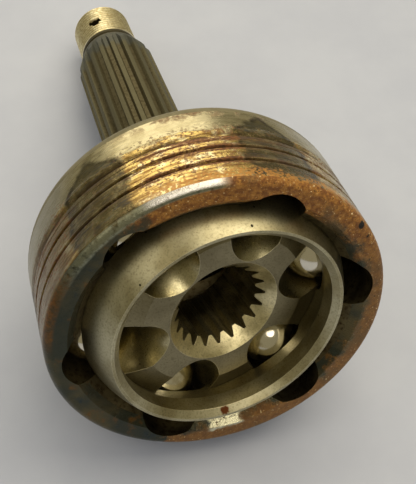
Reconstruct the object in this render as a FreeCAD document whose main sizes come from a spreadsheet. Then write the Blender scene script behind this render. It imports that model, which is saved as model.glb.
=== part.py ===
import FreeCAD, Part
import Sketcher
import math
import os

# Fixed ball joint from the wheel end of a front drive shaft.
#
# The frame is the joint's own: the origin is the centre about which the joint
# bends, +Y runs along the stub axle to its threaded end, the open mouth of the
# bell faces -Y and +Z is up.  Lengths are in millimetres, angles in degrees.
#
# Six balls run in curved tracks that face each other in the outer and the inner
# race.  The centres of the outer tracks lie track_offset in front of the joint's
# centre and those of the inner tracks as far behind it, so the two tracks of a
# ball cross and hold it in the plane that halves the bend.  The cage keeps all
# six balls in that plane.
#
# The joint lies bent by `bend` about the Z axis, towards +X.

SIZES = [
    # The track geometry that all the moving pieces share.
    ("ball_radius", 7.9375, "ball, 5/8 inch across"),
    ("ball_circle", 30.0, "radius of the ring on which the balls sit"),
    ("track_offset", 5.4, "track centres before and behind the joint's centre"),
    ("track_gap", 0.2, "play between a ball and the round of its track"),
    ("first_track", 7.5, "angle of the first track, from +X towards +Z"),
    ("bend", 11.5, "bend of the joint as it lies"),
    # Where each ball lies in the play of its window.
    ("ball_1_lead", 0.134, "ball 1, along its track from the half plane to the mouth"),
    ("ball_2_lead", -0.023, "ball 2, likewise"),
    ("ball_3_lead", 0.080, "ball 3, likewise"),
    ("ball_4_lead", 0.137, "ball 4, likewise"),
    ("ball_5_lead", 0.045, "ball 5, likewise"),
    ("ball_6_lead", -0.008, "ball 6, likewise"),
    # Cage.
    ("cage_stand", 4.6, "cage's outer sphere outside the ring of balls"),
    ("cage_wall", 4.7, "between the cage's two spheres"),
    ("cage_collar", 2.7, "how far the end openings stand in from the inner sphere"),
    ("front_web", 10.08, "windows to the front rim"),
    ("back_web", 6.38, "windows to the back rim"),
    ("cage_dish", 1.5, "how far the front rim dips towards its bore"),
    ("cage_lip", 0.7, "flat left round the dished rim"),
    ("window_play", 1.56, "room at each side of a ball, round the cage"),
    ("window_gap", 0.18, "play between a ball and a window flank"),
    ("window_round", 3.2, "corner radius of a window"),
    ("sphere_gap", 0.1, "running gap of the cage on both races"),
    # Inner race.
    ("race_half_width", 11.2, "centre to each face of the inner race"),
    ("race_face", 7.05, "flat ring of each face, between its two bevels"),
    ("race_bevel", 2.6, "depth of the bevel from a face to the sphere"),
    ("inner_track_sweep", 120.0, "arc through which an inner track is ground"),
    ("bore_radius", 10.65, "tips of the teeth in the bore"),
    ("bore_tooth", 1.75, "depth of the teeth in the bore"),
    ("bore_lead", 3.9, "lead-in bevel of the bore at the faces"),
    ("bore_space_tip", 0.35, "half width of a tooth space at the tips"),
    ("bore_space_root", 1.4, "half width of a tooth space at the roots"),
    # Bell.
    ("bell_wall", 3.38, "wall left under the tracks"),
    ("mouth", 15.4, "centre to the mouth"),
    ("mouth_bevel", 1.9, "how far the mouth's bevel opens beyond the inner sphere"),
    ("rim_round", 2.0, "outer edge of the mouth"),
    ("bell_rear", 13.2, "centre to the back edge of the straight wall"),
    ("back_round", 5.8, "round of the bell's back edge"),
    ("bell_floor", 26.0, "centre to the flat floor of the bell"),
    ("outer_track_sweep", 50.0, "arc of an outer track, from its centre's plane"),
    # Boot seat, measured from the mouth: two grooves, a scribed line and a step.
    ("groove_one", 7.8, "first groove"),
    ("groove_two", 13.2, "second groove"),
    ("seat_line", 16.1, "scribed line"),
    ("seat_step", 18.0, "step before the ground band"),
    ("seat_bevel", 2.5, "from the step to where its bevel meets the ground band"),
    ("groove_width", 1.6, "width of a groove at the surface"),
    ("groove_depth", 0.8, "depth of a groove"),
    ("line_depth", 0.3, "depth of the scribed line"),
    # Stub axle.
    ("shoulder_radius", 22.0, "shoulder that the wheel bearing seats on"),
    ("shoulder_face", 39.5, "centre to the shoulder"),
    ("shoulder_land", 2.0, "straight edge of the shoulder"),
    ("journal_radius", 15.0, "plain journal"),
    ("journal_length", 15.3, "length of the journal"),
    ("relief_length", 2.5, "turned relief between journal and teeth"),
    ("teeth_radius", 12.78, "tips of the stub's teeth"),
    ("teeth_length", 56.7, "teeth at full height"),
    ("tooth_depth", 1.38, "depth of the stub's teeth"),
    ("space_root", 0.65, "half width of a tooth space at the roots"),
    ("space_tip", 1.5, "half width of a tooth space just outside the tips"),
    ("taper_length", 7.4, "length over which the teeth run out"),
    ("taper_drop", 2.08, "how far the taper falls from the tips"),
    ("thread_radius", 10.0, "outside of the thread"),
    ("neck_depth", 0.7, "neck below the outside of the thread"),
    ("neck_length", 2.6, "neck between teeth and thread"),
    ("thread_length", 19.2, "thread up to its end bevel"),
    ("thread_bevel", 1.6, "bevel at the end of the thread"),
    ("pin_hole_radius", 2.25, "cross hole for the locking pin"),
    ("pin_hole_place", 10.8, "end face to the cross hole"),
    ("pin_hole_turn", 105.2, "direction of the cross hole, from the first track"),
    ("bevel", 0.8, "small turned bevels"),
    ("centre_radius", 3.2, "mouth of the turning centre in the end face"),
    ("centre_drill", 1.25, "pilot of the turning centre"),
]

TRACKS = 6
TEETH = 20

document = FreeCAD.newDocument("fixed_ball_joint")
sheet = document.addObject("Spreadsheet::Sheet", "Sizes")
for row, (name, value, meaning) in enumerate(SIZES, start=1):
    sheet.set("A%d" % row, meaning)
    sheet.set("B%d" % row, str(value))
    sheet.setAlias("B%d" % row, name)
document.recompute()


class Size:
    """A length with the expression that drives it and the value it has now."""

    def __init__(self, text, value):
        self.text = text
        self.value = value

    def __add__(self, other):
        other = as_size(other)
        return Size("(%s + %s)" % (self.text, other.text), self.value + other.value)

    def __sub__(self, other):
        other = as_size(other)
        return Size("(%s - %s)" % (self.text, other.text), self.value - other.value)

    def __mul__(self, other):
        other = as_size(other)
        return Size("(%s * %s)" % (self.text, other.text), self.value * other.value)

    def __neg__(self):
        return Size("(0 - %s)" % self.text, -self.value)


def as_size(number):
    if isinstance(number, Size):
        return number
    return Size("%.6g" % number if number >= 0 else "(%.6g)" % number, float(number))


def size(name):
    return Size("Sizes.%s" % name, float(sheet.get(name)))


def root(square):
    return Size("sqrt(%s)" % square.text, math.sqrt(square.value))


ORIGIN = as_size(0)

ball_radius = size("ball_radius")
track_offset = size("track_offset")
track_radius = ball_radius + size("track_gap")
# Arc on which a ball's centre travels, about its track's own centre.
track_arc = root(size("ball_circle") * size("ball_circle") + track_offset * track_offset)
cage_radius = size("ball_circle") + size("cage_stand")
cage_inside = cage_radius - size("cage_wall")
bell_inside = cage_radius + size("sphere_gap")
race_radius = cage_inside - size("sphere_gap")
bell_radius = track_arc + track_radius + size("bell_wall")
window_half_width = ball_radius + size("window_gap")


def on_sphere(radius, along):
    """Distance from the axis of a sphere's surface at a height along the axis."""
    return root(radius * radius - along * along)


def plane_of(body, role):
    for feature in body.Origin.OriginFeatures:
        if feature.Role == role:
            return feature
    raise ValueError(role)


def new_body(label):
    body = document.addObject("PartDesign::Body", label)
    body.Label = label
    return body


def new_sketch(body, name, role, offset=None, turn=None):
    """A sketch on one of the body's own planes, moved along its normal or turned."""
    sketch = body.newObject("Sketcher::SketchObject", name)
    sketch.AttachmentSupport = [(plane_of(body, role), "")]
    sketch.MapMode = "FlatFace"
    if turn is not None:
        axis, angle = turn
        sketch.AttachmentOffset = FreeCAD.Placement(
            FreeCAD.Vector(0, 0, 0), FreeCAD.Rotation(axis, angle.value))
        sketch.setExpression("AttachmentOffset.Rotation.Angle", angle.text)
    if offset is not None:
        sketch.setExpression("AttachmentOffset.Base.z", offset.text)
    return sketch


def place_point(sketch, geometry, end, across, along):
    """Tie one end of a line or a centre to its two distances from the origin."""
    for kind, axis, distance in (("DistanceX", -2, across), ("DistanceY", -1, along)):
        if abs(distance.value) < 1e-9:
            sketch.addConstraint(Sketcher.Constraint("PointOnObject", geometry, end, axis))
            continue
        number = sketch.addConstraint(
            Sketcher.Constraint(kind, -1, 1, geometry, end, distance.value))
        sketch.setExpression("Constraints[%d]" % number, distance.text)


def outline(sketch, corners):
    """A closed outline.  A corner is (across, along) or, where the next edge is an
    arc, (across, along, radius, side) with side +1 for an arc that bulges to the
    right of the way it runs and -1 for one that bulges to the left."""
    numbers = []
    for index, corner in enumerate(corners):
        following = corners[(index + 1) % len(corners)]
        first = FreeCAD.Vector(corner[0].value, corner[1].value, 0)
        last = FreeCAD.Vector(following[0].value, following[1].value, 0)
        if len(corner) == 2:
            numbers.append((sketch.addGeometry(Part.LineSegment(first, last)), 1, 2))
            continue
        radius, side = corner[2], corner[3]
        chord = last - first
        rise = math.sqrt(max(radius.value ** 2 - chord.Length ** 2 / 4, 0))
        normal = FreeCAD.Vector(-chord.y, chord.x, 0).normalize()
        centre = (first + last) * 0.5 + normal * rise * side
        start = math.atan2(first.y - centre.y, first.x - centre.x)
        stop = math.atan2(last.y - centre.y, last.x - centre.x)
        circle = Part.Circle(centre, FreeCAD.Vector(0, 0, 1), radius.value)
        if side > 0:
            arc = Part.ArcOfCircle(circle, start, stop)
            number = sketch.addGeometry(arc)
            numbers.append((number, 1, 2))
        else:
            arc = Part.ArcOfCircle(circle, stop, start)
            number = sketch.addGeometry(arc)
            numbers.append((number, 2, 1))
        limit = sketch.addConstraint(Sketcher.Constraint("Radius", number, radius.value))
        sketch.setExpression("Constraints[%d]" % limit, radius.text)
    for index, (number, start, stop) in enumerate(numbers):
        following = numbers[(index + 1) % len(numbers)]
        sketch.addConstraint(
            Sketcher.Constraint("Coincident", number, stop, following[0], following[1]))
        place_point(sketch, number, start, corners[index][0], corners[index][1])


def turned(body, kind, sketch, axis="V_Axis"):
    """Revolve a sketch right round, as material or as a cut."""
    feature = body.newObject(kind, sketch.Name + "_turned")
    feature.Profile = sketch
    feature.ReferenceAxis = (sketch, [axis])
    feature.Angle = 360
    sketch.Visibility = False
    return feature


def round_pattern(body, feature, copies):
    """Repeat a cut evenly round the body's Y axis."""
    pattern = body.newObject("PartDesign::PolarPattern", feature.Name + "_ring")
    pattern.Originals = [feature]
    pattern.Axis = (plane_of(body, "Y_Axis"), [""])
    pattern.Angle = 360
    pattern.Occurrences = copies
    body.Tip = pattern
    return pattern


def track_section(body, name, centre):
    """Round section of a track, in the plane of the track's centre."""
    sketch = new_sketch(body, name, "XZ_Plane", offset=centre)
    circle = Part.Circle(FreeCAD.Vector(track_arc.value, 0, 0),
                         FreeCAD.Vector(0, 0, 1), track_radius.value)
    number = sketch.addGeometry(circle)
    place_point(sketch, number, 3, track_arc, ORIGIN)
    limit = sketch.addConstraint(Sketcher.Constraint("Radius", number, track_radius.value))
    sketch.setExpression("Constraints[%d]" % limit, track_radius.text)
    sketch.Visibility = False
    return sketch


def swung_tracks(body, sketch, sweep, both_ways):
    """Six curved tracks: the section swung about a line through the track centre."""
    cut = body.newObject("PartDesign::Groove", sketch.Name + "_swung")
    cut.Profile = sketch
    cut.ReferenceAxis = (sketch, ["V_Axis"])
    cut.Midplane = both_ways
    cut.setExpression("Angle", sweep.text)
    return round_pattern(body, cut, TRACKS)


def straight_tracks(body, sketch, length):
    """Six straight track ends: the section run along the axis to the open end."""
    cut = body.newObject("PartDesign::Pocket", sketch.Name + "_straight")
    cut.Profile = sketch
    cut.Reversed = True
    cut.setExpression("Length", length.text)
    return round_pattern(body, cut, TRACKS)


def tooth_spaces(body, name, plane, depth, wide, narrow, floor, mouth, reverse):
    """Straight tooth spaces, half a pitch from the first track, cut along the axis."""
    sketch = new_sketch(body, name, "XZ_Plane", offset=plane,
                        turn=(FreeCAD.Vector(0, 0, 1), as_size(180.0 / TEETH)))
    outline(sketch, [(floor, -narrow), (mouth, -wide), (mouth, wide), (floor, narrow)])
    cut = body.newObject("PartDesign::Pocket", name + "_cut")
    cut.Profile = sketch
    cut.Reversed = reverse
    cut.setExpression("Length", depth.text)
    sketch.Visibility = False
    return round_pattern(body, cut, TEETH)


def make_outer_race():
    """Bell and stub axle, forged in one and then turned, splined and threaded."""
    body = new_body("outer_race")
    mouth = size("mouth")
    rim_round = size("rim_round")
    bevel = size("bevel")
    back_round = size("back_round")
    bell_rear = size("bell_rear")
    floor = size("bell_floor")
    mouth_bevel = bell_inside + size("mouth_bevel")
    # The 45 degree mouth bevel runs in until it meets the bell's inner sphere.
    reach = (mouth_bevel + mouth
             - root(bell_inside * bell_inside * 2
                    - (mouth_bevel - mouth) * (mouth_bevel - mouth))) * 0.5
    slope = math.sqrt(0.5)
    back_across = bell_radius - back_round * (1 - slope)
    back_along = bell_rear + back_round * slope
    shoulder_radius = size("shoulder_radius")
    shoulder_face = size("shoulder_face")
    journal = size("journal_radius")
    journal_end = shoulder_face + size("journal_length")
    teeth = size("teeth_radius")
    teeth_root = teeth - size("tooth_depth")
    teeth_start = journal_end + size("relief_length")
    teeth_end = teeth_start + size("teeth_length")
    relief = teeth_root - 0.2
    taper_end = teeth_end + size("taper_length")
    thread = size("thread_radius")
    neck = thread - size("neck_depth")
    neck_end = taper_end + size("neck_length")
    thread_end = neck_end + size("thread_length")
    thread_bevel = size("thread_bevel")
    stub_end = thread_end + thread_bevel
    centre_radius = size("centre_radius")
    drill = size("centre_drill")
    # The turning centre is a 60 degree cone.
    cone_depth = (centre_radius - drill) * math.sqrt(3)

    blank = new_sketch(body, "forging", "XY_Plane")
    outline(blank, [
        (mouth_bevel, -mouth),
        (bell_radius - rim_round, -mouth, rim_round, 1),
        (bell_radius, rim_round - mouth),
        (bell_radius, bell_rear, back_round, 1),
        (back_across, back_along),
        (shoulder_radius, shoulder_face - size("shoulder_land")),
        (shoulder_radius, shoulder_face - bevel),
        (shoulder_radius - bevel, shoulder_face),
        (journal, shoulder_face),
        (journal, journal_end - bevel),
        (journal - bevel, journal_end),
        (relief, journal_end),
        (relief, teeth_start),
        (teeth - bevel, teeth_start),
        (teeth, teeth_start + bevel),
        (teeth, teeth_end),
        (teeth - size("taper_drop"), taper_end),
        (neck, taper_end),
        (neck, neck_end - bevel * 0.5),
        (thread, neck_end),
        (thread, thread_end),
        (thread - thread_bevel, stub_end),
        (centre_radius, stub_end),
        (drill, stub_end - cone_depth),
        (drill, stub_end - cone_depth * 2),
        (ORIGIN, stub_end - cone_depth * 2 - drill * 0.5),
        (ORIGIN, floor),
        (on_sphere(bell_inside, floor), floor, bell_inside, -1),
        (mouth_bevel - reach, reach - mouth),
    ])
    turned(body, "PartDesign::Revolution", blank)

    seat = new_sketch(body, "boot_seat", "XY_Plane")
    half = size("groove_width") * 0.5
    depth = size("groove_depth")
    proud = bell_radius + 1
    for place in (size("groove_one") - mouth, size("groove_two") - mouth):
        outline(seat, [
            (bell_radius - depth, place - half * 0.4),
            (proud, place - half * 1.2),
            (proud, place + half * 1.2),
            (bell_radius - depth, place + half * 0.4),
        ])
    line = size("seat_line") - mouth
    line_depth = size("line_depth")
    outline(seat, [
        (bell_radius - line_depth, line),
        (proud, line - line_depth * 2),
        (proud, line + line_depth * 2),
    ])
    step = size("seat_step") - mouth
    bevel_end = step + size("seat_bevel")
    outline(seat, [
        (bell_radius - depth, step - half * 0.4),
        (proud, step - half * 1.2),
        (proud, bevel_end),
        (bell_radius, bevel_end),
        (bell_radius - depth, step + half * 0.6),
    ])
    turned(body, "PartDesign::Groove", seat)

    # Towards the floor the outer tracks curve in; towards the mouth they run straight.
    tracks = track_section(body, "outer_track", track_offset)
    swung_tracks(body, tracks, size("outer_track_sweep"), False)
    straight_tracks(body, tracks, mouth - track_offset + 2)

    tooth_spaces(body, "outer_tooth_space", -taper_end, taper_end - teeth_start + 0.5,
                 size("space_tip"), size("space_root"), teeth_root, teeth + 0.3, True)

    hole = new_sketch(body, "pin_hole", "XY_Plane",
                      turn=(FreeCAD.Vector(0, 1, 0), as_size(90) - size("pin_hole_turn")))
    place = stub_end - size("pin_hole_place")
    radius = size("pin_hole_radius")
    number = hole.addGeometry(Part.Circle(FreeCAD.Vector(0, place.value, 0),
                                          FreeCAD.Vector(0, 0, 1), radius.value))
    place_point(hole, number, 3, ORIGIN, place)
    limit = hole.addConstraint(Sketcher.Constraint("Radius", number, radius.value))
    hole.setExpression("Constraints[%d]" % limit, radius.text)
    cut = body.newObject("PartDesign::Pocket", "pin_hole_cut")
    cut.Profile = hole
    cut.Midplane = True
    cut.setExpression("Length", (thread * 3).text)
    hole.Visibility = False
    body.Tip = cut
    return body


def make_cage():
    """Cage: a ball shell with a dished front rim and six windows."""
    body = new_body("cage")
    bore = cage_inside - size("cage_collar")
    front = window_half_width + size("front_web")
    back = window_half_width + size("back_web")
    dish = size("cage_dish")
    outer_edge = on_sphere(cage_radius, front)
    bore_reach = root(cage_inside * cage_inside - bore * bore)
    shell = new_sketch(body, "shell", "XY_Plane")
    outline(shell, [
        (bore, dish - front),
        (outer_edge - size("cage_lip"), -front),
        (outer_edge, -front, cage_radius, 1),
        (on_sphere(cage_radius, back), back),
        (bore + 0.6, back),
        (bore, back - 0.6),
        (bore, bore_reach, cage_inside, -1),
        (bore, -bore_reach),
    ])
    turned(body, "PartDesign::Revolution", shell)

    window = new_sketch(body, "window", "YZ_Plane")
    across = window_half_width
    half = ball_radius + size("window_play")
    corner = size("window_round")
    outline(window, [
        (corner - across, -half),
        (across - corner, -half, corner, 1),
        (across, corner - half),
        (across, half - corner, corner, 1),
        (across - corner, half),
        (corner - across, half, corner, 1),
        (-across, half - corner),
        (-across, corner - half, corner, 1),
    ])
    cut = body.newObject("PartDesign::Pocket", "window_cut")
    cut.Profile = window
    cut.Reversed = True
    cut.setExpression("Length", (cage_radius + 2).text)
    window.Visibility = False
    round_pattern(body, cut, TRACKS)
    return body


def make_inner_race():
    """Inner race: a ball segment with six tracks and a toothed bore."""
    body = new_body("inner_race")
    half_width = size("race_half_width")
    minor = size("bore_radius")
    major = minor + size("bore_tooth")
    lead = minor + size("bore_lead")
    face = lead + size("race_face")
    edge = half_width - size("race_bevel")
    lead_end = half_width - size("bore_lead")
    blank = new_sketch(body, "blank", "XY_Plane")
    outline(blank, [
        (minor, -lead_end),
        (lead, -half_width),
        (face, -half_width),
        (on_sphere(race_radius, edge), -edge, race_radius, 1),
        (on_sphere(race_radius, edge), edge),
        (face, half_width),
        (lead, half_width),
        (minor, lead_end),
    ])
    turned(body, "PartDesign::Revolution", blank)
    swung_tracks(body, track_section(body, "inner_track", -track_offset),
                 size("inner_track_sweep"), True)
    tooth_spaces(body, "inner_tooth_space", half_width + 0.5, half_width * 2 + 1,
                 size("bore_space_tip"), size("bore_space_root"), minor - 0.4, major, False)
    return body


def lie(piece, bend):
    """Set a body with its first track at first_track, bent about the joint's centre."""
    along = FreeCAD.Vector(0, 1, 0)
    up = FreeCAD.Vector(0, 0, 1)
    tracks = FreeCAD.Rotation(along, -size("first_track").value)
    bent = FreeCAD.Rotation(up, bend.value)
    piece.Placement = FreeCAD.Placement(FreeCAD.Vector(0, 0, 0), bent * tracks)
    return piece


def ball_place(number):
    """Centre of a ball as the joint lies: where its outer track crosses the cage's
    plane, which stands at half the bend, moved along the track by the ball's lead."""
    arc = track_arc.value
    offset = track_offset.value
    direction = math.radians(size("first_track").value + (number - 1) * 360.0 / TRACKS)
    lean = -math.cos(direction) * math.tan(math.radians(size("bend").value / 2))
    reach = math.sqrt(1 + lean * lean)
    travel = math.atan(lean) - math.asin(offset / (arc * reach))
    travel = travel + size("ball_%d_lead" % number).value / arc
    out = arc * math.cos(travel)
    return FreeCAD.Vector(out * math.cos(direction), -offset - arc * math.sin(travel),
                          out * math.sin(direction))


def make_ball(number):
    ball = document.addObject("Part::Sphere", "ball_%d" % number)
    ball.Label = "ball_%d" % number
    ball.setExpression("Radius", ball_radius.text)
    ball.Placement = FreeCAD.Placement(ball_place(number), FreeCAD.Rotation())
    return ball


outer_race = lie(make_outer_race(), ORIGIN)
cage = lie(make_cage(), size("bend") * 0.5)
inner_race = lie(make_inner_race(), size("bend"))
balls = [make_ball(number) for number in range(1, TRACKS + 1)]
document.recompute()

pieces = [outer_race, cage, inner_race] + balls
for item in document.Objects:
    if "Invalid" in item.State or "Error" in item.State:
        raise RuntimeError("%s failed: %s" % (item.Label, item.State))
for piece in pieces:
    if piece.Shape.isNull() or not piece.Shape.isValid():
        raise RuntimeError("%s has no valid shape" % piece.Label)

os.makedirs("parts", exist_ok=True)
for piece in pieces:
    piece.Shape.exportStep("parts/%s.step" % piece.Label)
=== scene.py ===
"""Looks of a fixed constant-velocity joint, taken off its drive shaft: an oily, partly
rusted bell with its splined and threaded stub, a satin cage, an inner race and six
polished balls, lying on a pale bench top."""

import math

import bpy
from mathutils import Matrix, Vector


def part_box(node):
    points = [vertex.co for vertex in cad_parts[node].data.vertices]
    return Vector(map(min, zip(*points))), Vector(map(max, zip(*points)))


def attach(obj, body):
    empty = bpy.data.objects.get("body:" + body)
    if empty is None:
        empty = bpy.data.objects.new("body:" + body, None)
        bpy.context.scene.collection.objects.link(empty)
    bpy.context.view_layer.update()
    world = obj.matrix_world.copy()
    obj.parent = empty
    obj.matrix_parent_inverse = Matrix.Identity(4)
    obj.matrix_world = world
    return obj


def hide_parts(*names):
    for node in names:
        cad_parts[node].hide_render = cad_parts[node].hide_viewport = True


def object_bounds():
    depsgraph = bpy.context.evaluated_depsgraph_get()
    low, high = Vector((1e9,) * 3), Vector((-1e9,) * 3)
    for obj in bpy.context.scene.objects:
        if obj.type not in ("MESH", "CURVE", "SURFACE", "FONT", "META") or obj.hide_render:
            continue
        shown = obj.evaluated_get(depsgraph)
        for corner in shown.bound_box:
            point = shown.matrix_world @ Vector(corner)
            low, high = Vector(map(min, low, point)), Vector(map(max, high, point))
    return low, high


bl_info = {
    "name": "Fixed CV Joint",
    "version": (1, 0, 0),
    "blender": (4, 5, 0),
    "location": "3D View > Sidebar > CV Joint",
    "description": "Finishes the pieces of a fixed CV joint and sets its stage",
    "category": "Object",
}

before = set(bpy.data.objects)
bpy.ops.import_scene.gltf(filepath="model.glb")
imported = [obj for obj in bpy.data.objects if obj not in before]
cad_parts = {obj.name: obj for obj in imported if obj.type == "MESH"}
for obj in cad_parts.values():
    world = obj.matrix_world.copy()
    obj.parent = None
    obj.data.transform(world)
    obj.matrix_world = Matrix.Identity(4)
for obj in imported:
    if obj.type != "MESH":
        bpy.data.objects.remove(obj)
cad_low, cad_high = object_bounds()

MM = 0.001
BALLS = sorted(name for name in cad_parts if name.startswith("ball_"))
FIRST_TRACK = 7.5  # degrees from +X towards +Z
TRACK_STEP = 360 / len(BALLS)

# Stations along the stub axle, in mm from the joint's centre towards the thread.
RIM_END = -13.4  # where the rim's round meets the bell's side
GROOVE_RUST = ((-9.0, -6.4), (-3.8, -1.2))  # by the two boot grooves
STEP_RUST = (0.0, 3.0)  # from the scribed line to the step
GROUND_BAND = 5.4  # where the oil film ends, up to the bell's rear
BELL_REAR = 13.2
HOLLOW_END = 30.0  # behind this, all faces are outside ones
TEETH = (57.0, 121.6)
TEETH_RUNOUT = (111.0, 121.0)
TEETH_EDGE = (122.2, 122.8)
DARK_NECK = (122.7, 125.3)
THREAD_START = 125.4

# Distances from the stub's axis, in mm.
RIM_INSIDE = 33.0
BELL_SKIN = 40.9
TOOTH_TIPS = (12.35, 13.2)
THREAD_RADIUS = 10.0

THREAD_TURNS = 12.5
WELD = 0.002 * MM  # corners closer than this are one corner

# The inner race: how far the joint lies bent, the ground arc along which a ball's middle
# runs, with its centre off the joint's centre, and the outer edge of the bore's bevel.
BEND = math.radians(11.5)
TRACK_OFFSET = 5.4 * MM
TRACK_ARC = 30.48 * MM
TRACK_PLAY = 0.1 * MM
TRACK_MARGIN = 0.25 * MM
BORE_EDGE = 15.5 * MM
ALONG_AXIS = 0.95  # end faces look along the axis by this much or more

# Marks, each as a middle and a size in mm and a colour: a rust spot on the cage's rim
# with three deep pits in its ball face, and two crumbs of tar on the bell's rim.
CAGE_MARKS = (
    ((0.7, -17.5, -27.9), 1.9, "#5E361E"),
    ((-19.5, -19.4, 20.9), 0.45, "#1E1810"),
    ((6.5, -16.5, 29.7), 0.55, "#1E1810"),
    ((-16.1, -11.1, 28.5), 0.35, "#1E1810"),
)
TAR_CRUMBS = (
    ((33.5, -15.3, 23.4), 1.6, "#14100C"),
    ((35.2, -14.9, 19.8), 1.0, "#14100C"),
)

# The joint lies on its bell's back edge and the tip of its stub, so the bench stands
# at a slope to the joint's own axis.
REST_FRONT = Vector((0.0, BELL_REAR * MM, -42.0 * MM))
REST_BACK = Vector((0.0, 143.2 * MM, -10.0 * MM))
BENCH_RADIUS = 600 * MM

# Soft boxes: name, place, point that it faces, width, power in watts and tint.
LAMPS = (
    ("ceiling_soft_box", (0.27, -0.04, 0.70), (0.0, 0.02, 0.0), 0.80, 4.3, "#FFF2D6"),
    ("window_soft_box", (-0.06, 0.66, 0.56), (0.0, 0.05, 0.0), 0.72, 2.4, "#FFF4DA"),
    ("left_soft_box", (-0.50, -0.05, 0.52), (0.0, 0.03, 0.0), 0.50, 0.6, "#FFF6E2"),
    ("front_soft_box", (0.0, -0.66, 0.66), (0.0, 0.0, 0.0), 0.52, 1.5, "#FFF6E4"),
)

CAMERA_AIM = Vector((5.36, 16.06, 0.0)) * MM
CAMERA_AZIMUTH = math.radians(-15.2)
CAMERA_ELEVATION = math.radians(38.93)
CAMERA_DISTANCE = 249.2 * MM
CAMERA_LENS = 70.2

# Settings that make a Map Range node a soft step, and a Mix node's sockets for colours.
SOFT = {"interpolation_type": "SMOOTHSTEP"}
FACTOR, UNDER, OVER = 0, 6, 7


class JointSizes(bpy.types.PropertyGroup):
    """Sizes that only the dressed joint has."""
    thread_pitch: bpy.props.FloatProperty(
        name="Thread pitch", description="Pitch of the hub nut's thread",
        default=1.5 * MM, unit="LENGTH")
    thread_depth: bpy.props.FloatProperty(
        name="Thread depth", description="Depth of the hub nut's thread",
        default=0.92 * MM, unit="LENGTH")
    worn_edge: bpy.props.FloatProperty(
        name="Worn edge", description="Radius that handling has given the steel's edges",
        default=0.12 * MM, unit="LENGTH")


def linear(hex_colour):
    """An sRGB hex colour as the linear values that shaders read."""
    channels = [int(hex_colour[i:i + 2], 16) / 255 for i in (1, 3, 5)]
    return [c / 12.92 if c <= 0.04045 else ((c + 0.055) / 1.055) ** 2.4 for c in channels]


def rgba(hex_colour):
    """The same with full cover, for a colour socket."""
    return (*linear(hex_colour), 1.0)


def colour_property(name, description, hex_colour):
    """A colour that the panel offers, with its default."""
    return bpy.props.FloatVectorProperty(
        name=name, description=description, subtype="COLOR", size=3,
        min=0.0, max=1.0, default=linear(hex_colour))


class JointColours(bpy.types.PropertyGroup):
    """Colours of the joint's finishes."""
    ground_steel: colour_property("Ground steel", "Bare ground band of the bell", "#C2B999")
    oil_film: colour_property("Oil film", "Dried golden oil on the bell", "#DCC07A")
    heat_tint: colour_property("Heat tint", "Hardened stripes over the tracks", "#565142")
    rust: colour_property("Rust", "Orange rust on the rim", "#B47E36")
    rim_oil: colour_property("Rim oil", "Dark oil on the clean side of the rim", "#3A3D33")
    stub_steel: colour_property("Stub steel", "Oiled stub axle", "#665F47")
    cage_steel: colour_property("Cage steel", "Satin steel of the cage", "#BCB699")
    race_steel: colour_property("Race steel", "Faces of the inner race", "#8E866B")
    track_steel: colour_property("Track steel", "Ground tracks of the inner race", "#C6BD99")
    ball_steel: colour_property("Ball steel", "Polished balls", "#E2DCCC")
    bench: colour_property("Bench", "Pale bench top", "#B7BCC7")


def sizes():
    """The sizes that the panel holds."""
    return bpy.context.scene.joint_sizes


def colour(name):
    """One of the panel's colours, for a colour socket."""
    return (*getattr(bpy.context.scene.joint_colours, name), 1.0)


def add(tree, kind, inputs=None, **settings):
    """A shader node with its settings, values and links. A node given as a value is linked
    by the first output that its settings leave in use."""
    node = tree.nodes.new("ShaderNode" + kind)
    for name, value in settings.items():
        setattr(node, name, value)
    for key, value in (inputs or {}).items():
        if isinstance(value, bpy.types.Node):
            value = next(output for output in value.outputs if output.enabled)
        if isinstance(value, bpy.types.NodeSocket):
            tree.links.new(value, node.inputs[key])
        else:
            node.inputs[key].default_value = value
    return node


def new_material(name):
    """An empty node material and its tree."""
    material = bpy.data.materials.new(name)
    material.use_nodes = True
    material.node_tree.nodes.clear()
    return material, material.node_tree


def overlap(tree, first, *others):
    """Where every mask is on. A plain number among them thins the result."""
    for other in others:
        first = add(tree, "Math", {0: first, 1: other}, operation="MULTIPLY")
    return first


def strongest(tree, first, *others):
    """Where any of the masks is on."""
    for other in others:
        first = add(tree, "Math", {0: first, 1: other}, operation="MAXIMUM")
    return first


def mingled(tree, value, *shares):
    """A value with a share of each other pattern added."""
    for pattern, share in shares:
        value = add(tree, "Math", {0: pattern, 1: share, 2: value}, operation="MULTIPLY_ADD")
    return value


def coats(tree, base, *layers):
    """Colours laid over a base one after another, each where its mask is on."""
    for mask, over in layers:
        base = add(tree, "Mix", {FACTOR: mask, UNDER: base, OVER: over}, data_type="RGBA")
    return base


def between(tree, value, low, high, blur):
    """1 between two stations, with soft ends."""
    rise = add(tree, "MapRange",
               {"Value": value, "From Min": low - blur, "From Max": low + blur}, **SOFT)
    fall = add(tree, "MapRange",
               {"Value": value, "From Min": high + blur, "From Max": high - blur}, **SOFT)
    return overlap(tree, rise, fall)


def polar(tree):
    """Object place, and in mm and degrees the distance along and from the stub's axis and
    the turn round it."""
    place = add(tree, "TexCoord").outputs["Object"]
    axes = add(tree, "SeparateXYZ", {"Vector": place})
    along = add(tree, "Math", {0: axes.outputs["Y"], 1: MM}, operation="DIVIDE")
    across = add(tree, "CombineXYZ", {"X": axes.outputs["X"], "Z": axes.outputs["Z"]})
    length = add(tree, "VectorMath", {0: across}, operation="LENGTH")
    out = add(tree, "Math", {0: length, 1: MM}, operation="DIVIDE")
    angle = add(tree, "Math", {0: axes.outputs["Z"], 1: axes.outputs["X"]}, operation="ARCTAN2")
    turn = add(tree, "Math", {0: angle}, operation="DEGREES")
    return place, along, out, turn


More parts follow.
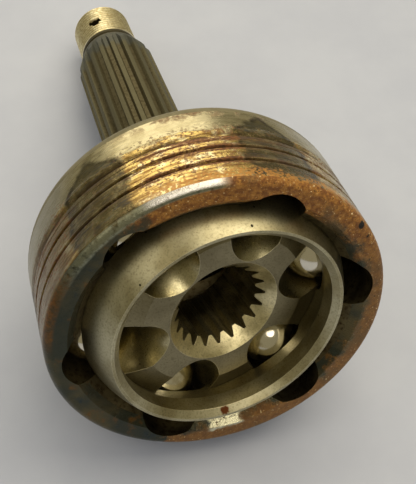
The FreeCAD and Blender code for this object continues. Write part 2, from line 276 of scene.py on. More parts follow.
def rounded(tree, height, strength, distance_mm):
    """Relief on a surface whose sharp edges are worn round."""
    edge = add(tree, "Bevel", {"Radius": sizes().worn_edge}, samples=6)
    return add(tree, "Bump", {"Height": height, "Strength": strength,
                              "Distance": distance_mm * MM, "Normal": edge})


def rubbed_edge_sheen(tree, reach_mm):
    """1 along sharp edges, where handling has rubbed the steel bright and a highlight is painted."""
    edge = add(tree, "Bevel", {"Radius": reach_mm * MM}, samples=6)
    flat = add(tree, "NewGeometry").outputs["Normal"]
    alike = add(tree, "VectorMath", {0: edge, 1: flat}, operation="DOT_PRODUCT")
    return add(tree, "MapRange", {"Value": alike, "From Min": 0.99, "From Max": 0.90}, **SOFT)


def blots(tree, base, place, ragged, marks):
    """A colour with ragged blots at the marks."""
    for middle, size_mm, tint in marks:
        away = add(tree, "VectorMath", {0: place, 1: Vector(middle) * MM}, operation="DISTANCE")
        reach = mingled(tree, ragged, (away, 1 / (size_mm * MM)))
        inside = add(tree, "MapRange", {"Value": reach, "From Min": 1.25, "From Max": 0.95}, **SOFT)
        base = coats(tree, base, (inside, rgba(tint)))
    return base


def over_tracks(tree, turn, half_width):
    """How far inside a stripe over the six tracks, in degrees from the stripe's edge."""
    start = FIRST_TRACK - TRACK_STEP / 2
    from_start = add(tree, "Math", {0: turn, 1: start}, operation="SUBTRACT")
    share = add(tree, "Math", {0: from_start, 1: TRACK_STEP}, operation="DIVIDE")
    share = add(tree, "Math", {0: share}, operation="FRACT")
    share = add(tree, "Math", {0: share, 1: 0.5}, operation="SUBTRACT")
    share = add(tree, "Math", {0: share}, operation="ABSOLUTE")
    return mingled(tree, half_width, (share, -TRACK_STEP))


def bell_side_finish():
    """Turned forging steel, oiled, rusted and hardened over the tracks: golden film with
    rust streaks by the grooves, dull olive stripes, and a bare ground band behind."""
    material, tree = new_material("forging_side_oiled")
    place, along, out, turn = polar(tree)
    cloud = add(tree, "TexNoise", {"Vector": place, "Scale": 1 / (10 * MM),
                                   "Detail": 5, "Roughness": 0.6})
    patchy = add(tree, "TexNoise", {"Vector": place, "Scale": 1 / (4 * MM),
                                    "Detail": 5, "Roughness": 0.65})
    # Oil and rust run round the bell with its turning marks, so these two are drawn out.
    streak_place = add(tree, "VectorMath", {0: place, 1: (1.0, 7.0, 1.0)}, operation="MULTIPLY")
    streak = add(tree, "TexNoise", {"Vector": streak_place, "Scale": 1 / (6 * MM),
                                    "Detail": 6, "Roughness": 0.62})
    grit_place = add(tree, "VectorMath", {0: place, 1: (1.0, 1.8, 1.0)}, operation="MULTIPLY")
    grit = add(tree, "TexNoise", {"Vector": grit_place, "Scale": 1 / (0.7 * MM),
                                  "Detail": 5, "Roughness": 0.7})
    # Real grains of rust are finer. These are as coarse as they need to show.
    grain = add(tree, "TexNoise", {"Vector": place, "Scale": 1 / (0.75 * MM),
                                   "Detail": 3, "Roughness": 0.55})
    cloud_drift = add(tree, "Math", {0: cloud, 1: 0.5}, operation="SUBTRACT")
    patch_drift = add(tree, "Math", {0: patchy, 1: 0.5}, operation="SUBTRACT")
    streak_drift = add(tree, "Math", {0: streak, 1: 0.5}, operation="SUBTRACT")
    # Painted shade: the colours darken low on the left and, further down, low on the right.
    shaded_low_left = add(tree, "MapRange", {"Value": mingled(tree, turn, (cloud_drift, 40.0)),
                                      "From Min": 128.0, "From Max": 150.0}, **SOFT)

    # The bare band is scored, and has painted shade low on the left.
    dulled = add(tree, "MapRange", {"Value": patchy, "From Min": 0.35, "From Max": 0.7}, **SOFT)
    scored = add(tree, "MapRange", {"Value": grit, "From Min": 0.55, "From Max": 0.75,
                                    "To Max": 0.35}, **SOFT)
    steel = coats(tree, colour("ground_steel"),
                  (dulled, rgba("#A89E7C")),
                  (scored, rgba("#6E6344")),
                  (overlap(tree, shaded_low_left, 0.8), rgba("#8B846C")))

    # Oil dried to a golden film on the turned seat: brown in streaks, pale where it is
    # thin, and dull olive-brown low on both sides, which is painted shade.
    browned = add(tree, "MapRange", {"Value": streak, "From Min": 0.40, "From Max": 0.62}, **SOFT)
    thin = add(tree, "MapRange", {"Value": patchy, "From Min": 0.48, "From Max": 0.64}, **SOFT)
    shaded_low_right = add(tree, "MapRange", {"Value": turn, "From Min": 52.0, "From Max": 34.0,
                                       "To Max": 0.6}, **SOFT)
    film = coats(tree, colour("oil_film"),
                 (browned, rgba("#8C6A38")),
                 (thin, rgba("#F4E8BC")),
                 (overlap(tree, shaded_low_left, 0.85), rgba("#5C4820")),
                 (shaded_low_right, rgba("#54482E")))
    seat_edge = mingled(tree, along, (streak_drift, 5.0))
    seat = add(tree, "MapRange", {"Value": seat_edge, "From Min": GROUND_BAND + 0.5,
                                  "From Max": GROUND_BAND - 0.5}, **SOFT)
    base = coats(tree, steel, (seat, film))

    # Hardened stripes over the tracks end in a blunt point on the ground band. Their
    # borders are scorched here and there.
    half_width = add(tree, "MapRange", {"Value": along, "From Min": 3.0, "From Max": 12.8,
                                        "To Min": 12.0, "To Max": 1.0}, **SOFT)
    inside = mingled(tree, over_tracks(tree, turn, half_width), (patch_drift, 7.0))
    width = add(tree, "MapRange", {"Value": inside, "From Min": -1.5, "From Max": 1.8}, **SOFT)
    length = add(tree, "MapRange", {"Value": along, "From Min": BELL_REAR - 0.2,
                                    "From Max": BELL_REAR - 1.6}, **SOFT)
    stripe = overlap(tree, width, length)
    border = add(tree, "MapRange", {"Value": inside, "From Min": 4.0, "From Max": 0.8}, **SOFT)
    scorched = add(tree, "MapRange", {"Value": patchy, "From Min": 0.42, "From Max": 0.60}, **SOFT)
    olive = add(tree, "MapRange", {"Value": patchy, "From Min": 0.35, "From Max": 0.65}, **SOFT)
    blue = add(tree, "MapRange", {"Value": streak, "From Min": 0.52, "From Max": 0.66}, **SOFT)
    tint = coats(tree, colour("heat_tint"), (olive, rgba("#7D7350")), (blue, rgba("#4C5254")))
    base = coats(tree, base,
                 (overlap(tree, stripe, 0.85), tint),
                 (overlap(tree, stripe, border, scorched, 0.9), rgba("#211B14")))

    # Rust: streaks by the grooves, most of it at the top, and specks between them.
    from_top = add(tree, "Math", {0: turn, 1: 84.0}, operation="SUBTRACT")
    from_top = add(tree, "Math", {0: from_top}, operation="ABSOLUTE")
    top = add(tree, "MapRange", {"Value": from_top, "From Min": 40.0, "From Max": 10.0}, **SOFT)
    by_groove = strongest(tree, between(tree, along, *STEP_RUST, 0.7),
                          *(between(tree, along, *groove, 0.6) for groove in GROOVE_RUST))
    damp = mingled(tree, overlap(tree, by_groove, 0.16), (top, 0.10), (streak, 0.55), (grit, 0.45))
    streaked = add(tree, "MapRange", {"Value": damp, "From Min": 0.64, "From Max": 0.74}, **SOFT)
    crowd = mingled(tree, grain, (patchy, 0.30), (top, 0.05))
    speck = add(tree, "MapRange", {"Value": crowd, "From Min": 0.73, "From Max": 0.78,
                                   "To Max": 0.8}, **SOFT)
    on_seat = add(tree, "MapRange", {"Value": seat_edge, "From Min": 8.5, "From Max": 5.0}, **SOFT)
    # At the top, blotches of it lie along the bare band's rear edge.
    behind = add(tree, "MapRange", {"Value": along, "From Min": 9.0, "From Max": 12.8}, **SOFT)
    blotch = add(tree, "MapRange", {"Value": patchy, "From Min": 0.44, "From Max": 0.60}, **SOFT)
    broken = add(tree, "MapRange", {"Value": grit, "From Min": 0.30, "From Max": 0.55,
                                    "To Min": 0.2, "To Max": 0.8}, **SOFT)
    rust = strongest(tree, overlap(tree, streaked, seat), overlap(tree, speck, on_seat),
                     overlap(tree, behind, top, blotch, broken))
    off_stripe = mingled(tree, 1.0, (stripe, -0.6))
    rust = overlap(tree, rust, off_stripe)
    # The rim's crust spills over on to the front land.
    spill_edge = mingled(tree, along, (patch_drift, 8.0))
    front = add(tree, "MapRange", {"Value": spill_edge, "From Min": -10.6, "From Max": -12.2}, **SOFT)
    grainy = add(tree, "MapRange", {"Value": grain, "From Min": 0.38, "From Max": 0.52}, **SOFT)
    spill = overlap(tree, front, between(tree, turn, 30.0, 112.0, 8.0), grainy)
    rust = strongest(tree, rust, overlap(tree, spill, 0.9))
    dark = add(tree, "MapRange", {"Value": grit, "From Min": 0.4, "From Max": 0.65}, **SOFT)
    rust_colour = coats(tree, rgba("#85552A"), (dark, rgba("#4A2F18")), (spill, colour("rust")))

    # Dirt sits in the grooves.
    groove = add(tree, "MapRange", {"Value": out, "From Min": 41.9, "From Max": 41.3}, **SOFT)
    dirty = add(tree, "MapRange", {"Value": streak, "From Min": 0.35, "From Max": 0.55,
                                   "To Max": 0.8}, **SOFT)
    base = coats(tree, base, (rust, rust_colour), (overlap(tree, groove, dirty), rgba("#3A2812")))

    satin = add(tree, "MapRange", {"Value": streak, "From Min": 0.3, "From Max": 0.7,
                                   "To Min": 0.20, "To Max": 0.36}, **SOFT)
    relief = mingled(tree, grain, (grit, 0.5), (streak, 0.6))
    height = overlap(tree, relief, strongest(tree, seat, rust))
    shader = add(tree, "BsdfPrincipled", {
        "Base Color": base, "Metallic": mingled(tree, 1.0, (rust, -0.65)),
        "Roughness": mingled(tree, satin, (rust, 0.22)),
        "Normal": rounded(tree, height, 0.45, 0.16)})
    add(tree, "OutputMaterial", {"Surface": shader})
    return material


def rim_finish():
    """Turned rim of the forging, left to rust: pitted orange-brown crust at the top, right
    and bottom, and dark green-grey oil at the left, by the tracks and inside, where grease
    kept the rust off."""
    material, tree = new_material("forging_rim_rusted")
    place, _, out, turn = polar(tree)
    cloud = add(tree, "TexNoise", {"Vector": place, "Scale": 1 / (14 * MM),
                                   "Detail": 5, "Roughness": 0.6})
    patchy = add(tree, "TexNoise", {"Vector": place, "Scale": 1 / (4.5 * MM),
                                    "Detail": 6, "Roughness": 0.65})
    lumps = add(tree, "TexNoise", {"Vector": place, "Scale": 1 / (1.5 * MM),
                                   "Detail": 6, "Roughness": 0.7})
    grit = add(tree, "TexNoise", {"Vector": place, "Scale": 1 / (0.55 * MM),
                                  "Detail": 4, "Roughness": 0.7})
    drift = add(tree, "Math", {0: patchy, 1: 0.5}, operation="SUBTRACT")
    from_top = add(tree, "Math", {0: turn, 1: 82.0}, operation="SUBTRACT")
    from_top = add(tree, "Math", {0: from_top}, operation="ABSOLUTE")

    # Rust covers the rim from the bottom left round by the right to just past the top. On
    # the rim's round it stops at the top.
    ragged_turn = mingled(tree, turn, (drift, 60.0))
    on_round = add(tree, "MapRange", {"Value": out, "From Min": 39.9, "From Max": 40.5}, **SOFT)
    past_top = add(tree, "MapRange", {"Value": turn, "From Min": 85.0, "From Max": 92.0}, **SOFT)
    worn_off = add(tree, "MapRange", {"Value": lumps, "From Min": 0.72, "From Max": 0.60}, **SOFT)
    bare_round = overlap(tree, on_round, past_top, worn_off)
    # It covers the rim's whole width at the top, most of it at the bottom, and thins out
    # towards the bore at the right.
    at_top = add(tree, "MapRange", {"Value": from_top, "From Min": 50.0, "From Max": 30.0}, **SOFT)
    at_bottom = between(tree, turn, -100.0, -50.0, 8.0)
    inner_edge = mingled(tree, out, (drift, 9.0), (at_bottom, 2.0))
    outer_part = add(tree, "MapRange", {"Value": inner_edge, "From Min": 36.2,
                                        "From Max": 39.0}, **SOFT)
    rusty = overlap(tree, between(tree, ragged_turn, -112.0, 118.0, 5.0),
                    mingled(tree, 1.0, (bare_round, -1.0)), strongest(tree, at_top, outer_part))

    brown = add(tree, "MapRange", {"Value": lumps, "From Min": 0.36, "From Max": 0.62}, **SOFT)
    pale = add(tree, "MapRange", {"Value": grit, "From Min": 0.56, "From Max": 0.70}, **SOFT)
    muddy = add(tree, "MapRange", {"Value": cloud, "From Min": 0.50, "From Max": 0.66}, **SOFT)
    away = add(tree, "MapRange", {"Value": from_top, "From Min": 40.0, "From Max": 75.0,
                                  "To Max": 0.55}, **SOFT)
    pit_noise = mingled(tree, grit, (lumps, 0.7))
    pits = add(tree, "MapRange", {"Value": pit_noise, "From Min": 0.76, "From Max": 0.62}, **SOFT)
    # Painted glints: bright specks stand for single crystals that catch the light, drawn coarse
    # enough to show.
    glint_noise = add(tree, "TexNoise", {"Vector": place, "Scale": 1 / (0.55 * MM),
                                      "Detail": 2, "Roughness": 0.5})
    painted_glints = add(tree, "MapRange", {"Value": glint_noise, "From Min": 0.66, "From Max": 0.71}, **SOFT)
    rust = coats(tree, colour("rust"),
                 (brown, rgba("#7A4A1C")),
                 (pale, rgba("#CC9A52")),
                 (muddy, rgba("#6A5230")),
                 (away, rgba("#7A5A30")),
                 (pits, rgba("#24150C")),
                 (painted_glints, rgba("#F2DDAA")))

    # The oil is mottled. On the rim's round it has a pale green-grey bloom at the left that is
    # partly a painted highlight, is brown lower down, and is rubbed through to bright steel past the
    # top, painted lilac-white there as a glint.
    olive = add(tree, "MapRange", {"Value": cloud, "From Min": 0.4, "From Max": 0.65}, **SOFT)
    amber = add(tree, "MapRange", {"Value": patchy, "From Min": 0.56, "From Max": 0.68}, **SOFT)
    blue = add(tree, "MapRange", {"Value": patchy, "From Min": 0.42, "From Max": 0.30}, **SOFT)
    bloom_and_sheen_cover = add(tree, "MapRange", {"Value": lumps, "From Min": 0.70, "From Max": 0.45,
                                     "To Max": 0.75}, **SOFT)
    bloom_and_sheen = overlap(tree, between(tree, out, 39.9, 41.9, 0.35), bloom_and_sheen_cover,
                    between(tree, turn, 60.0, 146.0, 12.0))
    edge = add(tree, "MapRange", {"Value": out, "From Min": 39.4, "From Max": 40.6}, **SOFT)
    broken = add(tree, "MapRange", {"Value": lumps, "From Min": 0.40, "From Max": 0.60,
                                    "To Min": 0.25, "To Max": 0.80}, **SOFT)
    browned = overlap(tree, between(tree, turn, 150.0, 174.0, 8.0), edge, broken)
    # Painted glint: lilac-white steel on the round past the top, where the light mirrors.
    crest = add(tree, "MapRange", {"Value": out, "From Min": 40.6, "From Max": 41.2}, **SOFT)
    rubbed_glint = overlap(tree, between(tree, turn, 88.0, 113.0, 3.0), crest, 0.9)
    oil = coats(tree, colour("rim_oil"),
                (olive, rgba("#5C5339")),
                (amber, rgba("#6B4E2A")),
                (blue, rgba("#323A3A")),
                (bloom_and_sheen, rgba("#9A9C86")),
                (browned, rgba("#7A5228")),
                (rubbed_glint, rgba("#E2DEDA")))
    base = blots(tree, coats(tree, oil, (rusty, rust)), place, lumps, TAR_CRUMBS)

    # Bare steel shows at the bottom, where the crust has come off.
    bare_edge = mingled(tree, out, (drift, 5.0))
    inner = add(tree, "MapRange", {"Value": bare_edge, "From Min": 37.9, "From Max": 37.1}, **SOFT)
    flake = mingled(tree, lumps, (grit, 0.5))
    flaked = add(tree, "MapRange", {"Value": flake, "From Min": 0.92, "From Max": 0.80}, **SOFT)
    bare = overlap(tree, between(tree, mingled(tree, turn, (drift, 8.0)), -95.0, -80.0, 1.2),
                   inner, flaked)
    base = coats(tree, base, (bare, rgba("#DAD6B8")))

    crust = overlap(tree, rusty, mingled(tree, 1.0, (bare, -1.0)))
    matt = add(tree, "MapRange", {"Value": crust, "To Min": 0.16, "To Max": 0.42}, **SOFT)
    metal = add(tree, "MapRange", {"Value": crust, "To Min": 0.85, "To Max": 0.35}, **SOFT)
    lumpy = add(tree, "MapRange", {"Value": crust, "To Min": 0.25, "To Max": 0.9}, **SOFT)
    relief = mingled(tree, lumps, (grit, 0.6))
    shader = add(tree, "BsdfPrincipled", {
        "Base Color": base, "Metallic": metal, "Roughness": mingled(tree, matt, (lumps, 0.18)),
        "Normal": rounded(tree, relief, lumpy, 0.55)})
    add(tree, "OutputMaterial", {"Surface": shader})
    return material


def bell_inside_finish():
    """Ground hollow and tracks under old grease: dark olive with brown smears."""
    material, tree = new_material("forging_inside_greased")
    place = add(tree, "TexCoord").outputs["Object"]
    cloud = add(tree, "TexNoise", {"Vector": place, "Scale": 1 / (7 * MM),
                                   "Detail": 5, "Roughness": 0.6})
    fine = add(tree, "TexNoise", {"Vector": place, "Scale": 1 / (1.2 * MM),
                                  "Detail": 5, "Roughness": 0.6})
    thin = add(tree, "MapRange", {"Value": cloud, "From Min": 0.35, "From Max": 0.65}, **SOFT)
    smear = add(tree, "MapRange", {"Value": fine, "From Min": 0.45, "From Max": 0.7}, **SOFT)
    base = coats(tree, rgba("#4A4230"), (thin, rgba("#6E6448")), (smear, rgba("#3A2C18")))
    wet = add(tree, "MapRange", {"Value": cloud, "From Min": 0.3, "From Max": 0.7,
                                 "To Min": 0.25, "To Max": 0.45}, **SOFT)
    shader = add(tree, "BsdfPrincipled", {
        "Base Color": base, "Metallic": 0.9, "Roughness": wet,
        "Normal": rounded(tree, fine, 0.2, 0.1)})
    add(tree, "OutputMaterial", {"Surface": shader})
    return material


def stub_finish():
    """Rolled and oiled stub axle: olive-brown oil in the tooth spaces, steel showing on
    the tooth tips and on the thread's crests."""
    material, tree = new_material("stub_steel_oiled")
    place, along, out, _ = polar(tree)
    cloud = add(tree, "TexNoise", {"Vector": place, "Scale": 1 / (8 * MM),
                                   "Detail": 4, "Roughness": 0.6})
    fine = add(tree, "TexNoise", {"Vector": place, "Scale": 1 / (1 * MM),
                                  "Detail": 6, "Roughness": 0.65})
    worn = add(tree, "MapRange", {"Value": cloud, "From Min": 0.3, "From Max": 0.7}, **SOFT)
    speck = add(tree, "MapRange", {"Value": fine, "From Min": 0.45, "From Max": 0.75}, **SOFT)
    tips = overlap(tree, between(tree, out, *TOOTH_TIPS, 0.25), between(tree, along, *TEETH, 0.4))
    # Towards the thread the teeth run out darker and bluer, up to a thin bright edge, the
    # dark neck and the crests of the thread, which the nut has rubbed bright.
    thread = add(tree, "MapRange", {"Value": along, "From Min": THREAD_START - 0.4,
                                    "From Max": THREAD_START + 0.4}, **SOFT)
    tarnish = add(tree, "MapRange", {"Value": fine, "From Min": 0.3, "From Max": 0.7}, **SOFT)
    bright = coats(tree, rgba("#F4EBC4"), (tarnish, rgba("#C4B384")))
    # The bell's back is as it came from the forge.
    on_back = add(tree, "MapRange", {"Value": along, "From Min": 50.0, "From Max": 40.0}, **SOFT)
    scale = add(tree, "MapRange", {"Value": cloud, "From Min": 0.25, "From Max": 0.75}, **SOFT)
    forged = coats(tree, rgba("#9C957B"), (scale, rgba("#7C765F")))
    # The thread's roots are darker.
    root = add(tree, "MapRange", {"Value": out, "From Min": 9.85, "From Max": 9.3,
                                  "To Max": 0.8}, **SOFT)
    base = coats(tree, colour("stub_steel"),
                 (worn, rgba("#5E573F")),
                 (speck, rgba("#453D28")),
                 (tips, rgba("#66624C")),
                 (between(tree, along, *TEETH_RUNOUT, 1.5), rgba("#5C5D55")),
                 (thread, bright),
                 (on_back, forged),
                 (between(tree, along, *DARK_NECK, 0.2), rgba("#4A4534")),
                 (between(tree, along, *TEETH_EDGE, 0.2), rgba("#A8A07C")),
                 (overlap(tree, thread, root), rgba("#5E5032")))
    satin = add(tree, "MapRange", {"Value": fine, "From Min": 0.2, "From Max": 0.8,
                                   "To Min": 0.54, "To Max": 0.66}, **SOFT)
    shader = add(tree, "BsdfPrincipled", {
        "Base Color": base, "Metallic": 1.0, "Roughness": mingled(tree, satin, (thread, -0.28)),
        "Normal": rounded(tree, fine, 0.25, 0.1)})
    add(tree, "OutputMaterial", {"Surface": shader})
    return material


def satin_finish(name, tint, dull, roughness, pit_cover, marks=()):
    """Case-hardened steel, ground and then tumbled: soft satin with a few dark pits, edges
    rubbed bright with a painted highlight, and the marks given."""
    material, tree = new_material(name)
    place = add(tree, "TexCoord").outputs["Object"]
    cloud = add(tree, "TexNoise", {"Vector": place, "Scale": 1 / (10 * MM),
                                   "Detail": 4, "Roughness": 0.55})
    # The tumbled grain is finer than this, which is as coarse as it needs to show.
    fine = add(tree, "TexNoise", {"Vector": place, "Scale": 1 / (0.5 * MM),
                                  "Detail": 4, "Roughness": 0.6})
    dulled = add(tree, "MapRange", {"Value": cloud, "From Min": 0.35, "From Max": 0.7}, **SOFT)
    grain = add(tree, "MapRange", {"Value": fine, "From Min": 0.45, "From Max": 0.75,
                                   "To Max": 0.45}, **SOFT)
    # Pits lie about 6 mm apart.
    from_pit = add(tree, "TexVoronoi", {"Vector": place, "Scale": 1 / (6 * MM)})
    ragged = mingled(tree, from_pit.outputs["Distance"], (fine, 0.08))
    pit = add(tree, "MapRange", {"Value": ragged, "From Min": 0.10, "From Max": 0.05,
                                 "To Max": pit_cover}, **SOFT)
    base = coats(tree, tint,
                 (dulled, dull),
                 (grain, rgba("#4E4630")),
                 (pit, rgba("#241E14")),
                 # Painted highlight along the edges, on top of their wear.
                 (overlap(tree, rubbed_edge_sheen(tree, 0.22), 0.7), rgba("#EDE4C2")))
    base = blots(tree, base, place, fine, marks)
    satin = add(tree, "MapRange", {"Value": fine, "From Min": 0.2, "From Max": 0.8,
                                   "To Min": roughness - 0.04, "To Max": roughness + 0.06}, **SOFT)
    shader = add(tree, "BsdfPrincipled", {
        "Base Color": base, "Metallic": 1.0, "Roughness": satin,
        "Normal": rounded(tree, fine, 0.15, 0.05)})
    add(tree, "OutputMaterial", {"Surface": shader})
    return material


def ball_finish():
    """Lapped bearing steel: a mirror under a trace of oil, which dulls it in smears."""
    material, tree = new_material("ball_steel_lapped")
    place = add(tree, "TexCoord").outputs["Object"]
    smear = add(tree, "TexNoise", {"Vector": place, "Scale": 1 / (5 * MM),
                                   "Detail": 5, "Roughness": 0.6})
    oily = add(tree, "MapRange", {"Value": smear, "From Min": 0.5, "From Max": 0.75}, **SOFT)
    mirror = add(tree, "MapRange", {"Value": smear, "From Min": 0.3, "From Max": 0.8,
                                    "To Min": 0.10, "To Max": 0.24}, **SOFT)
    shader = add(tree, "BsdfPrincipled", {
        "Base Color": coats(tree, colour("ball_steel"), (oily, rgba("#BDB294"))),
        "Metallic": 1.0, "Roughness": mirror})
    add(tree, "OutputMaterial", {"Surface": shader})
    return material


def bench_finish():
    """Painted bench top: pale and even, with faint clouds. It runs out into the air behind
    the joint, and is open from below."""
    material, tree = new_material("bench_top_painted")
    place = add(tree, "TexCoord").outputs["Object"]
    mottle = add(tree, "TexNoise", {"Vector": place, "Scale": 1 / (30 * MM),
                                    "Detail": 4, "Roughness": 0.6})
    cloudy = add(tree, "MapRange", {"Value": mottle, "From Min": 0.3, "From Max": 0.7}, **SOFT)
    paint = add(tree, "BsdfPrincipled", {
        "Base Color": coats(tree, colour("bench"), (cloudy, rgba("#B1B6C2"))),
        "Metallic": 0.0, "Roughness": 0.6})
    reach = add(tree, "VectorMath", {0: place}, operation="LENGTH")
    far = add(tree, "MapRange", {"Value": reach, "From Min": BENCH_RADIUS / 2,
                                 "From Max": BENCH_RADIUS - 20 * MM}, **SOFT)
    below = add(tree, "NewGeometry").outputs["Backfacing"]
    top = add(tree, "MixShader", {0: strongest(tree, far, below), 1: paint,
                                  2: add(tree, "BsdfTransparent")})
    add(tree, "OutputMaterial", {"Surface": top})
    return material


def studio_air():
    """The air round the bench: even neutral light, a darker and warmer room mirrored in
    polished steel, and a pale backdrop."""
    world = bpy.data.worlds.new("studio_air")
    world.use_nodes = True
    tree = world.node_tree
    tree.nodes.clear()
    lit = add(tree, "Background", {"Color": rgba("#FFFFFF"), "Strength": 0.33})
    room = add(tree, "Background", {"Color": rgba("#8C856C"), "Strength": 1.0})
    backdrop = add(tree, "Background", {"Color": rgba("#C6C4C0"), "Strength": 1.0})
    rays = add(tree, "LightPath")
    unseen = add(tree, "MixShader", {0: rays.outputs["Is Glossy Ray"], 1: lit, 2: room})
    seen = add(tree, "MixShader", {0: rays.outputs["Is Camera Ray"], 1: unseen, 2: backdrop})
    add(tree, "OutputWorld", {"Surface": seen})
    return world


def only(piece):
    """Select one piece and nothing else, out of edit mode."""
    if bpy.context.object is not None and bpy.context.object.mode != "OBJECT":
        bpy.ops.object.mode_set(mode="OBJECT")
    bpy.ops.object.select_all(action="DESELECT")
    piece.select_set(True)
    bpy.context.view_layer.objects.active = piece


def merged_copy(node, name):
    """A CAD node's own shape as one joined surface that takes the node's place."""
    piece = bpy.data.objects.new(name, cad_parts[node].data.copy())
    bpy.context.scene.collection.objects.link(piece)
    piece.data.materials.clear()
    only(piece)
    # The mesh's own fixed normals would outlast the merge and show its facets.
    bpy.ops.mesh.customdata_custom_splitnormals_clear()
    bpy.ops.object.mode_set(mode="EDIT")
    bpy.ops.mesh.select_all(action="SELECT")
    bpy.ops.mesh.remove_doubles(threshold=WELD)
    bpy.ops.object.mode_set(mode="OBJECT")
    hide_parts(node)
    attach(piece, node)
    return piece


def smooth(piece, degrees=28):
    """Shade a piece round, with edges kept where it turns sharply."""
    only(piece)
    bpy.ops.object.shade_smooth_by_angle(angle=math.radians(degrees))
    even = piece.modifiers.new("even_shading", "WEIGHTED_NORMAL")
    even.mode = "FACE_AREA_WITH_ANGLE"
    even.weight = 100
    even.keep_sharp = True
    bpy.ops.object.modifier_apply(modifier=even.name)


def thread_groove(pitch, depth, start, end, radius):
    """The closed V-shaped coil that cuts a right-hand thread from start to end along Y."""
    # Half the flat at the root, and how far the open side stands out past the crests.
    root, open_out = 0.08 * pitch, 0.1 * pitch
    widest = root + (depth + open_out) * math.tan(math.radians(30))
    corners = ((radius - depth, -root), (radius + open_out, -widest),
               (radius + open_out, widest), (radius - depth, root))
    bpy.ops.object.select_all(action="DESELECT")
    bpy.ops.mesh.primitive_plane_add(size=1, location=(0, 0, 0))
    coil = bpy.context.object
    coil.name = "thread_groove"
    # A plane's corners in their order round it.
    for corner, (out, along) in zip((0, 1, 3, 2), corners):
        coil.data.vertices[corner].co = (out, start + along, 0)
    bpy.ops.object.mode_set(mode="EDIT")
    bpy.ops.mesh.select_all(action="SELECT")
    bpy.ops.mesh.delete(type="ONLY_FACE")
    bpy.ops.object.mode_set(mode="OBJECT")
    sweep = coil.modifiers.new("sweep", "SCREW")
    sweep.axis = "Y"
    sweep.angle = math.tau
    sweep.screw_offset = pitch
    sweep.iterations = math.ceil((end - start) / pitch)
    sweep.steps = sweep.render_steps = 72
    bpy.ops.object.modifier_apply(modifier=sweep.name)
    # Only the coil's two ends are open.
    bpy.ops.object.mode_set(mode="EDIT")
    bpy.ops.mesh.select_all(action="DESELECT")
    bpy.ops.mesh.select_non_manifold()
    bpy.ops.mesh.edge_face_add()
    bpy.ops.mesh.select_all(action="SELECT")
    bpy.ops.mesh.normals_make_consistent(inside=False)
    bpy.ops.object.mode_set(mode="OBJECT")
    return coil


def cut(piece, tool):
    """Take one closed piece's shape out of another, and drop the tool."""
    only(piece)
    carve = piece.modifiers.new("carve", "BOOLEAN")
    carve.object = tool
    carve.operation = "DIFFERENCE"
    carve.solver = "EXACT"
    bpy.ops.object.modifier_apply(modifier=carve.name)
    bpy.data.objects.remove(tool)


def give(piece, *materials):
    """Put materials on a piece, in the order of its faces' material numbers."""
    for material in materials:
        piece.data.materials.append(material)


class CVJOINT_OT_forging(bpy.types.Operator):
    """Bell and stub axle in one, with the hub nut's thread"""
    bl_idname = "cvjoint.forging"
    bl_label = "Bell and Stub Axle"

    def execute(self, context):
        pitch = sizes().thread_pitch
        bell = merged_copy("outer_race", "bell_and_stub")
        # The thread runs off the stub's end, which is the far end of the whole joint.
        cut(bell, thread_groove(pitch, sizes().thread_depth, cad_high.y - THREAD_TURNS * pitch,
                                cad_high.y + pitch, THREAD_RADIUS * MM))
        smooth(bell)
        give(bell, bell_side_finish(), rim_finish(), bell_inside_finish(), stub_finish())
        side, rim, inside, stub = range(4)
        for face in bell.data.polygons:
            middle, normal = face.center, face.normal
            outwards = normal.x * middle.x + normal.z * middle.z
            reach = math.hypot(middle.x, middle.z)
            if middle.y > BELL_REAR * MM and (outwards > 0 or middle.y > HOLLOW_END * MM):
                face.material_index = stub
            elif middle.y < RIM_END * MM and reach > RIM_INSIDE * MM and normal.y < -0.3:
                face.material_index = rim
            elif reach > BELL_SKIN * MM:
                face.material_index = side
            else:
                face.material_index = inside
        return {"FINISHED"}


class CVJOINT_OT_cage(bpy.types.Operator):
    """Cage with its six windows"""
    bl_idname = "cvjoint.cage"
    bl_label = "Cage"

    def execute(self, context):
        cage = merged_copy("cage", "ball_cage")
        smooth(cage, degrees=12)
        give(cage, satin_finish("cage_steel_satin", colour("cage_steel"), rgba("#9A9170"),
                                roughness=0.38, pit_cover=0.9, marks=CAGE_MARKS))
        return {"FINISHED"}


class CVJOINT_OT_inner_race(bpy.types.Operator):
    """Inner race with its ground tracks and toothed bore"""
    bl_idname = "cvjoint.inner_race"
    bl_label = "Inner Race"

    def execute(self, context):
        race = merged_copy("inner_race", "toothed_race")
        smooth(race, degrees=14)
        give(race,
             satin_finish("race_steel_satin", colour("race_steel"), rgba("#7B735A"),
                          roughness=0.38, pit_cover=0.3),
             satin_finish("race_steel_ground", colour("track_steel"), rgba("#A29872"),
                          roughness=0.29, pit_cover=0.6),
             satin_finish("race_bore_broached", rgba("#EADFB6"), rgba("#968C66"),
                          roughness=0.34, pit_cover=0.2))
        outside, track, bore = range(3)
        low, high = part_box("ball_1")
        ball_radius = (high.z - low.z) / 2
        axis = Vector((-math.sin(BEND), math.cos(BEND), 0.0))
        for face in race.data.polygons:
            # A track's faces look at the arc along which the ball's middle travels.
            middle = face.center + face.normal * (ball_radius + TRACK_PLAY)
            along = middle.dot(axis)
            arc = math.hypot((middle - axis * along).length, along - TRACK_OFFSET)
            out = (face.center - axis * face.center.dot(axis)).length
            if abs(face.normal.dot(axis)) >= ALONG_AXIS:
                face.material_index = outside
            elif abs(arc - TRACK_ARC) < TRACK_MARGIN:
                face.material_index = track
            elif out < BORE_EDGE:
                face.material_index = bore
            else:
                face.material_index = outside
        return {"FINISHED"}


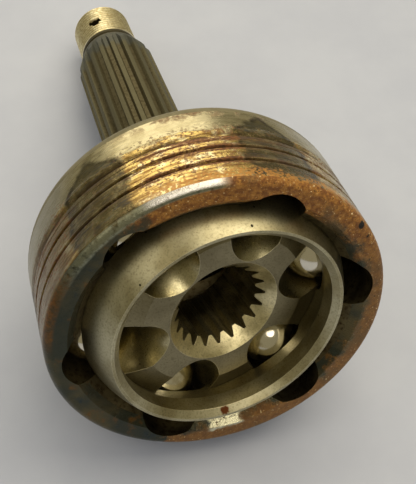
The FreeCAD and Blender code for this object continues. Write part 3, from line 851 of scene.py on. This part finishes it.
class CVJOINT_OT_balls(bpy.types.Operator):
    """Six polished balls"""
    bl_idname = "cvjoint.balls"
    bl_label = "Balls"

    def execute(self, context):
        finish = ball_finish()
        for node in BALLS:
            low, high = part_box(node)
            bpy.ops.object.select_all(action="DESELECT")
            bpy.ops.mesh.primitive_uv_sphere_add(
                segments=96, ring_count=48, radius=(high.z - low.z) / 2,
                location=(low + high) / 2)
            ball = bpy.context.object
            ball.name = node.replace("ball", "polished_ball")
            bpy.ops.object.transform_apply(location=True, rotation=True, scale=True)
            bpy.ops.object.shade_smooth()
            give(ball, finish)
            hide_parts(node)
            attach(ball, node)
        return {"FINISHED"}


class CVJOINT_OT_stage(bpy.types.Operator):
    """Bench top, soft studio light and camera"""
    bl_idname = "cvjoint.stage"
    bl_label = "Stage"

    def execute(self, context):
        scene = context.scene
        slope = math.atan2(REST_BACK.z - REST_FRONT.z, REST_BACK.y - REST_FRONT.y)
        bpy.ops.object.select_all(action="DESELECT")
        bpy.ops.mesh.primitive_circle_add(vertices=96, radius=BENCH_RADIUS, fill_type="NGON",
                                          location=REST_FRONT, rotation=(slope, 0, 0))
        bench = context.object
        bench.name = "bench_top"
        give(bench, bench_finish())

        for name, place, aim, width, watts, tint in LAMPS:
            light = bpy.data.lights.new(name, "AREA")
            light.shape = "DISK"
            light.size = width
            light.energy = watts
            light.color = linear(tint)
            box = bpy.data.objects.new(name, light)
            box.location = place
            facing = Vector(aim) - Vector(place)
            box.rotation_euler = facing.to_track_quat("-Z", "Y").to_euler()
            scene.collection.objects.link(box)
        scene.world = studio_air()

        eye = bpy.data.cameras.new("camera")
        eye.lens = CAMERA_LENS
        eye.sensor_width = 36.0
        camera = bpy.data.objects.new("camera", eye)
        back = Vector((math.sin(CAMERA_AZIMUTH) * math.cos(CAMERA_ELEVATION),
                       -math.cos(CAMERA_AZIMUTH) * math.cos(CAMERA_ELEVATION),
                       math.sin(CAMERA_ELEVATION)))
        camera.location = CAMERA_AIM + back * CAMERA_DISTANCE
        camera.rotation_mode = "QUATERNION"
        camera.rotation_quaternion = (-back).to_track_quat("-Z", "Y")
        scene.collection.objects.link(camera)
        scene.camera = camera
        scene.view_settings.view_transform = "Standard"
        return {"FINISHED"}


class CVJOINT_PT_panel(bpy.types.Panel):
    """Sizes, colours and pieces of the joint"""
    bl_idname = "CVJOINT_PT_panel"
    bl_label = "CV Joint"
    bl_space_type = "VIEW_3D"
    bl_region_type = "UI"
    bl_category = "CV Joint"

    def draw(self, context):
        layout = self.layout
        for group in (context.scene.joint_sizes, context.scene.joint_colours):
            box = layout.box()
            for name in group.bl_rna.properties.keys():
                if name not in {"rna_type", "name"}:
                    box.prop(group, name)
        for operator in OPERATORS:
            layout.operator(operator.bl_idname)


OPERATORS = (
    CVJOINT_OT_forging,
    CVJOINT_OT_cage,
    CVJOINT_OT_inner_race,
    CVJOINT_OT_balls,
    CVJOINT_OT_stage,
)
CLASSES = (JointSizes, JointColours, *OPERATORS, CVJOINT_PT_panel)


def register():
    for cls in CLASSES:
        bpy.utils.register_class(cls)
    bpy.types.Scene.joint_sizes = bpy.props.PointerProperty(type=JointSizes)
    bpy.types.Scene.joint_colours = bpy.props.PointerProperty(type=JointColours)


def unregister():
    del bpy.types.Scene.joint_colours
    del bpy.types.Scene.joint_sizes
    for cls in reversed(CLASSES):
        bpy.utils.unregister_class(cls)


def main():
    register()
    bpy.ops.cvjoint.forging()
    bpy.ops.cvjoint.cage()
    bpy.ops.cvjoint.inner_race()
    bpy.ops.cvjoint.balls()
    bpy.ops.cvjoint.stage()


if __name__ == "__main__":
    main()
